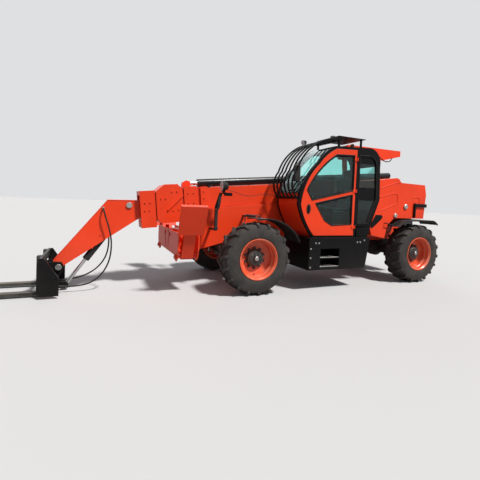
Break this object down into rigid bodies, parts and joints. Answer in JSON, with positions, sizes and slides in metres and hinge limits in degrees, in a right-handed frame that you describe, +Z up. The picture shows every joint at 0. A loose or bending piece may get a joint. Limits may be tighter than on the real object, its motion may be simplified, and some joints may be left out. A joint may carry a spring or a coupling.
{
  "type": "telehandler",
  "caption": "Full-size telehandler: a long telescoping boom with pallet forks, a side cab with guard bars, steered wheels with lug tyres, front stabilizers",
  "frame": {"origin": "on the ground under the centre of the whole machine's box", "axes": "+X to the front, +Y to the machine's left, +Z up"},
  "size_m": [8.6496, 2.4, 2.8446],
  "materials": {
    "orange_paint": "satin orange-red paint, dusty",
    "black_paint": "black paint, worn",
    "cast": "painted casting",
    "chrome_rod": "polished rod",
    "rim_paint": "orange-red paint, dusty",
    "tyre": "dusty rubber",
    "glass": "tinted safety glass",
    "black_plastic": "moulded, matt",
    "hose": "hydraulic hose"
  },
  "bodies": {
    "root": {"chassis_frame": "orange_paint", "stabilizer_beam": "orange_paint", "counterweight": "cast", "axle_front": "black_paint", "axle_rear": "black_paint", "drive_line": "cast", "rear_body_left": "orange_paint", "rear_body_right": "orange_paint", "engine_bay": "black_paint", "engine_block": "cast", "cab_frame": "black_paint", "cab_panel": "orange_paint", "cab_glass": "glass", "cab_interior": "black_plastic", "cab_guard": "black_paint", "step_box": "black_paint", "fenders": "black_plastic", "lamps": "black_paint"},
    "knuckle_front_left": {"knuckle_front_left": "black_paint"},
    "wheel_front_left": {"tyre_front_left": "tyre", "rim_front_left": "rim_paint"},
    "knuckle_front_right": {"knuckle_front_right": "black_paint"},
    "wheel_front_right": {"tyre_front_right": "tyre", "rim_front_right": "rim_paint"},
    "steering_bar_front": {"steering_bar_front": "chrome_rod"},
    "knuckle_rear_left": {"knuckle_rear_left": "black_paint"},
    "wheel_rear_left": {"tyre_rear_left": "tyre", "rim_rear_left": "rim_paint"},
    "knuckle_rear_right": {"knuckle_rear_right": "black_paint"},
    "wheel_rear_right": {"tyre_rear_right": "tyre", "rim_rear_right": "rim_paint"},
    "steering_bar_rear": {"steering_bar_rear": "chrome_rod"},
    "cab_door": {"cab_door": "black_paint", "door_glass": "glass"},
    "engine_hood": {"engine_hood": "orange_paint"},
    "boom_outer": {"boom_outer": "orange_paint", "extension_barrel": "orange_paint", "tail_guard": "orange_paint"},
    "boom_second": {"boom_second": "orange_paint", "extension_rod": "chrome_rod"},
    "boom_third": {"boom_third": "orange_paint"},
    "boom_fourth": {"boom_fourth": "orange_paint"},
    "carriage": {"carriage": "black_paint", "forks": "black_paint", "hose_left": "hose", "hose_right": "hose"},
    "lift_barrel": {"lift_barrel": "orange_paint"},
    "lift_rod": {"lift_rod": "chrome_rod"},
    "tilt_barrel": {"tilt_barrel": "orange_paint"},
    "tilt_rod": {"tilt_rod": "chrome_rod"},
    "stabilizer_arm_left": {"stabilizer_arm_left": "orange_paint"},
    "stabilizer_foot_left": {"stabilizer_foot_left": "orange_paint"},
    "stabilizer_barrel_left": {"stabilizer_barrel_left": "orange_paint"},
    "stabilizer_rod_left": {"stabilizer_rod_left": "chrome_rod"},
    "stabilizer_arm_right": {"stabilizer_arm_right": "orange_paint"},
    "stabilizer_foot_right": {"stabilizer_foot_right": "orange_paint"},
    "stabilizer_barrel_right": {"stabilizer_barrel_right": "orange_paint"},
    "stabilizer_rod_right": {"stabilizer_rod_right": "chrome_rod"}
  },
  "joints": [
    {"name": "steer_front_left", "type": "hinge", "parent": "root", "child": "knuckle_front_left", "pos_m": [0.02518, 0.75, 0.59], "axis": [0, 0, 1], "range_deg": [-35, 35]},
    {"name": "roll_front_left", "type": "hinge", "parent": "knuckle_front_left", "child": "wheel_front_left", "pos_m": [0.02518, 1, 0.59], "axis": [0, 1, 0], "continuous": true},
    {"name": "steer_front_right", "type": "hinge", "parent": "root", "child": "knuckle_front_right", "pos_m": [0.02518, -0.75, 0.59], "axis": [0, 0, 1], "range_deg": [-35, 35]},
    {"name": "roll_front_right", "type": "hinge", "parent": "knuckle_front_right", "child": "wheel_front_right", "pos_m": [0.02518, -1, 0.59], "axis": [0, 1, 0], "continuous": true},
    {"name": "steer_bar_front", "type": "slide", "parent": "root", "child": "steering_bar_front", "axis": [0, 1, 0], "range_m": [-0.1157, 0.1157]},
    {"name": "steer_rear_left", "type": "hinge", "parent": "root", "child": "knuckle_rear_left", "pos_m": [-3.61482, 0.75, 0.59], "axis": [0, 0, 1], "range_deg": [-35, 35]},
    {"name": "roll_rear_left", "type": "hinge", "parent": "knuckle_rear_left", "child": "wheel_rear_left", "pos_m": [-3.61482, 1, 0.59], "axis": [0, 1, 0], "continuous": true},
    {"name": "steer_rear_right", "type": "hinge", "parent": "root", "child": "knuckle_rear_right", "pos_m": [-3.61482, -0.75, 0.59], "axis": [0, 0, 1], "range_deg": [-35, 35]},
    {"name": "roll_rear_right", "type": "hinge", "parent": "knuckle_rear_right", "child": "wheel_rear_right", "pos_m": [-3.61482, -1, 0.59], "axis": [0, 1, 0], "continuous": true},
    {"name": "steer_bar_rear", "type": "slide", "parent": "root", "child": "steering_bar_rear", "axis": [0, 1, 0], "range_m": [-0.1157, 0.1157]},
    {"name": "door_swing", "type": "hinge", "parent": "root", "child": "cab_door", "pos_m": [-1.93982, 1.137, 1.75], "axis": [0, 0, 1], "range_deg": [0, 95]},
    {"name": "hood_lift", "type": "hinge", "parent": "root", "child": "engine_hood", "pos_m": [-1.60982, -0.4, 1.6], "axis": [-1, 0, 0], "range_deg": [0, 60]},
    {"name": "boom_lift", "type": "hinge", "parent": "root", "child": "boom_outer", "pos_m": [-3.72482, 0, 1.895], "axis": [0, -1, 0], "range_deg": [0, 68]},
    {"name": "extend_second", "type": "slide", "parent": "boom_outer", "child": "boom_second", "axis": [0.9954, 0, -0.0958], "range_m": [0, 3.3]},
    {"name": "extend_third", "type": "slide", "parent": "boom_second", "child": "boom_third", "axis": [0.9954, 0, -0.0958], "range_m": [0, 3.3]},
    {"name": "extend_fourth", "type": "slide", "parent": "boom_third", "child": "boom_fourth", "axis": [0.9954, 0, -0.0958], "range_m": [0, 3.3]},
    {"name": "carriage_tilt", "type": "hinge", "parent": "boom_fourth", "child": "carriage", "pos_m": [2.93482, 0, 0.39], "axis": [0, 1, 0], "range_deg": [-20, 80]},
    {"name": "lift_barrel_turn", "type": "hinge", "parent": "root", "child": "lift_barrel", "pos_m": [-3.32482, 0, 0.95], "axis": [0, -1, 0], "range_deg": [0, 59.2]},
    {"name": "lift_rod_slide", "type": "slide", "parent": "lift_barrel", "child": "lift_rod", "axis": [0.9744, 0, 0.2248], "range_m": [0, 1.09]},
    {"name": "tilt_barrel_turn", "type": "hinge", "parent": "boom_fourth", "child": "tilt_barrel", "pos_m": [1.92482, 0, 1.37], "axis": [0, -1, 0], "range_deg": [-0.7, 1.2]},
    {"name": "tilt_rod_slide", "type": "slide", "parent": "tilt_barrel", "child": "tilt_rod", "axis": [0.5821, 0, -0.8131], "range_m": [-0.412, 0.106]},
    {"name": "stabilizer_swing_left", "type": "hinge", "parent": "root", "child": "stabilizer_arm_left", "pos_m": [1.095, 0.75, 0.6], "axis": [-1, 0, 0], "range_deg": [0, 118]},
    {"name": "foot_swing_left", "type": "hinge", "parent": "stabilizer_arm_left", "child": "stabilizer_foot_left", "pos_m": [1.095, 1.00788, 1.20753], "axis": [1, 0, 0], "range_deg": [0, 52]},
    {"name": "stabilizer_barrel_turn_left", "type": "hinge", "parent": "root", "child": "stabilizer_barrel_left", "pos_m": [1.095, 0.2, 0.9], "axis": [-1, 0, 0], "range_deg": [0, 16.6]},
    {"name": "stabilizer_rod_slide_left", "type": "slide", "parent": "stabilizer_barrel_left", "child": "stabilizer_rod_left", "axis": [0, 0.9865, -0.1635], "range_m": [0, 0.333]},
    {"name": "stabilizer_swing_right", "type": "hinge", "parent": "root", "child": "stabilizer_arm_right", "pos_m": [1.095, -0.75, 0.6], "axis": [1, 0, 0], "range_deg": [0, 118]},
    {"name": "foot_swing_right", "type": "hinge", "parent": "stabilizer_arm_right", "child": "stabilizer_foot_right", "pos_m": [1.095, -1.00788, 1.20753], "axis": [-1, 0, 0], "range_deg": [0, 52]},
    {"name": "stabilizer_barrel_turn_right", "type": "hinge", "parent": "root", "child": "stabilizer_barrel_right", "pos_m": [1.095, -0.2, 0.9], "axis": [1, 0, 0], "range_deg": [0, 16.6]},
    {"name": "stabilizer_rod_slide_right", "type": "slide", "parent": "stabilizer_barrel_right", "child": "stabilizer_rod_right", "axis": [0, -0.9865, -0.1635], "range_m": [0, 0.333]}
  ],
  "couplings": [
    {"joint": "steer_front_right", "follows": "steer_front_left", "ratio": 1},
    {"joint": "steer_bar_front", "follows": "steer_front_left", "m_per_rad": 0.18779},
    {"joint": "steer_rear_right", "follows": "steer_rear_left", "ratio": 1},
    {"joint": "steer_bar_rear", "follows": "steer_rear_left", "m_per_rad": -0.18779},
    {"joint": "extend_third", "follows": "extend_second", "ratio": 1},
    {"joint": "extend_fourth", "follows": "extend_second", "ratio": 1},
    {"joint": "lift_barrel_turn", "follows": "boom_lift", "ratio": 0.86306},
    {"joint": "lift_rod_slide", "follows": "boom_lift", "m_per_rad": 0.91515},
    {"joint": "tilt_barrel_turn", "follows": "carriage_tilt", "ratio": 0.008899},
    {"joint": "tilt_rod_slide", "follows": "carriage_tilt", "m_per_rad": -0.29254},
    {"joint": "foot_swing_left", "follows": "stabilizer_swing_left", "ratio": 0.4322},
    {"joint": "stabilizer_barrel_turn_left", "follows": "stabilizer_swing_left", "ratio": 0.1366},
    {"joint": "stabilizer_rod_slide_left", "follows": "stabilizer_swing_left", "m_per_rad": 0.15992},
    {"joint": "foot_swing_right", "follows": "stabilizer_swing_right", "ratio": 0.4322},
    {"joint": "stabilizer_barrel_turn_right", "follows": "stabilizer_swing_right", "ratio": 0.1366},
    {"joint": "stabilizer_rod_slide_right", "follows": "stabilizer_swing_right", "m_per_rad": 0.15992}
  ]
}
